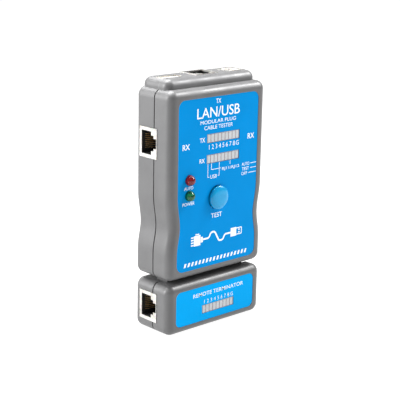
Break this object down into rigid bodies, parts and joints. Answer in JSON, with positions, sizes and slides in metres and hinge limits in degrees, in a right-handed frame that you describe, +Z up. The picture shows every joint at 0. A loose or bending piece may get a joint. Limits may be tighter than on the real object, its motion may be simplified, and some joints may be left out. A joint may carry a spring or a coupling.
{
  "type": "network cable tester",
  "caption": "Handheld LAN and USB cable tester: a master unit with lamps, TEST button, mode switch and sockets, and a slide-off remote terminator.",
  "frame": {"origin": "centre of the remote terminator's flat base, which the tester stands on", "axes": "+Z up through both units, +X to the right seen from the label, -Y out of the label"},
  "size_m": [0.0683, 0.0297, 0.1353],
  "materials": {
    "case_plastic": "satin moulded ABS with a fine grain",
    "label_film": "printed polyester film, satin gloss",
    "lamp_plastic": "milky diffused epoxy",
    "lamp_holder_plastic": "moulded grey plastic",
    "red_lens": "tinted clear epoxy",
    "green_lens": "tinted clear epoxy",
    "button_plastic": "polished plastic",
    "socket_metal": "tin-plated sheet",
    "socket_black": "moulded black plastic",
    "socket_white": "moulded white plastic",
    "contact_gold": "gold flash",
    "board_green": "solder mask over glass laminate",
    "chip_black": "moulded epoxy",
    "tinned_metal": "tinned leads",
    "screw_steel": "zinc-plated",
    "switch_metal": "plated steel",
    "knob_black": "moulded black plastic",
    "battery_wrap": "lacquered steel can",
    "snap_vinyl": "soft black vinyl",
    "lead_red": "soft PVC",
    "lead_black": "soft PVC",
    "foam": "soft foam"
  },
  "bodies": {
    "master_unit": {"master_front_shell": "case_plastic", "master_back_shell": "case_plastic", "master_label": "label_film", "tx_lamps": "lamp_plastic", "tx_lamp_holder": "lamp_holder_plastic", "rx_lamps": "lamp_plastic", "rx_lamp_holder": "lamp_holder_plastic", "auto_lamp": "red_lens", "power_lamp": "green_lens", "main_circuit_board": "board_green", "controller_chip": "chip_black", "controller_chip_legs": "tinned_metal", "lamp_resistors": "chip_black", "filter_capacitor": "tinned_metal", "side_lan_jack_shell": "socket_metal", "side_lan_jack_insert": "socket_black", "side_lan_jack_contacts": "contact_gold", "top_lan_jack_shell": "socket_metal", "top_lan_jack_insert": "socket_black", "top_lan_jack_contacts": "contact_gold", "top_usb_a_shell": "socket_metal", "top_usb_a_insert": "socket_white", "top_usb_a_contacts": "contact_gold", "top_usb_b_shell": "socket_metal", "top_usb_b_insert": "socket_white", "top_usb_b_contacts": "contact_gold", "side_usb_shell": "socket_metal", "side_usb_insert": "socket_white", "side_usb_contacts": "contact_gold", "mode_switch_housing": "switch_metal", "test_switch_body": "chip_black", "battery": "battery_wrap", "battery_terminals": "tinned_metal", "battery_snap": "snap_vinyl", "battery_lead_red": "lead_red", "battery_lead_black": "lead_black", "case_screws": "screw_steel", "board_screws": "screw_steel"},
    "test_button": {"test_button": "button_plastic", "test_switch_plunger": "chip_black"},
    "mode_switch": {"mode_switch_knob": "knob_black"},
    "battery_door": {"battery_door": "case_plastic", "battery_pad": "foam"},
    "remote_unit": {"remote_front_shell": "case_plastic", "remote_back_shell": "case_plastic", "remote_label": "label_film", "remote_lamps": "lamp_plastic", "remote_lamp_holder": "lamp_holder_plastic", "remote_circuit_board": "board_green", "remote_resistors": "chip_black", "remote_lan_jack_shell": "socket_metal", "remote_lan_jack_insert": "socket_black", "remote_lan_jack_contacts": "contact_gold", "remote_case_screws": "screw_steel", "remote_board_screws": "screw_steel"}
  },
  "joints": [
    {"name": "test_button_press", "type": "slide", "parent": "master_unit", "child": "test_button", "axis": [0, 1, 0], "range_m": [0, 0.0008], "stiffness_N_per_m": 1500, "springref_m": -0.0006},
    {"name": "mode_switch_slide", "type": "slide", "parent": "master_unit", "child": "mode_switch", "axis": [0, 0, 1], "range_m": [0, 0.0051]},
    {"name": "battery_door_tilt", "type": "hinge", "parent": "master_unit", "child": "battery_door", "pos_m": [0, 0.01325, 0.0342], "axis": [-1, 0, 0], "range_deg": [0, 60]},
    {"name": "remote_slide", "type": "slide", "parent": "master_unit", "child": "remote_unit", "axis": [-1, 0, 0], "range_m": [0, 0.062]}
  ]
}
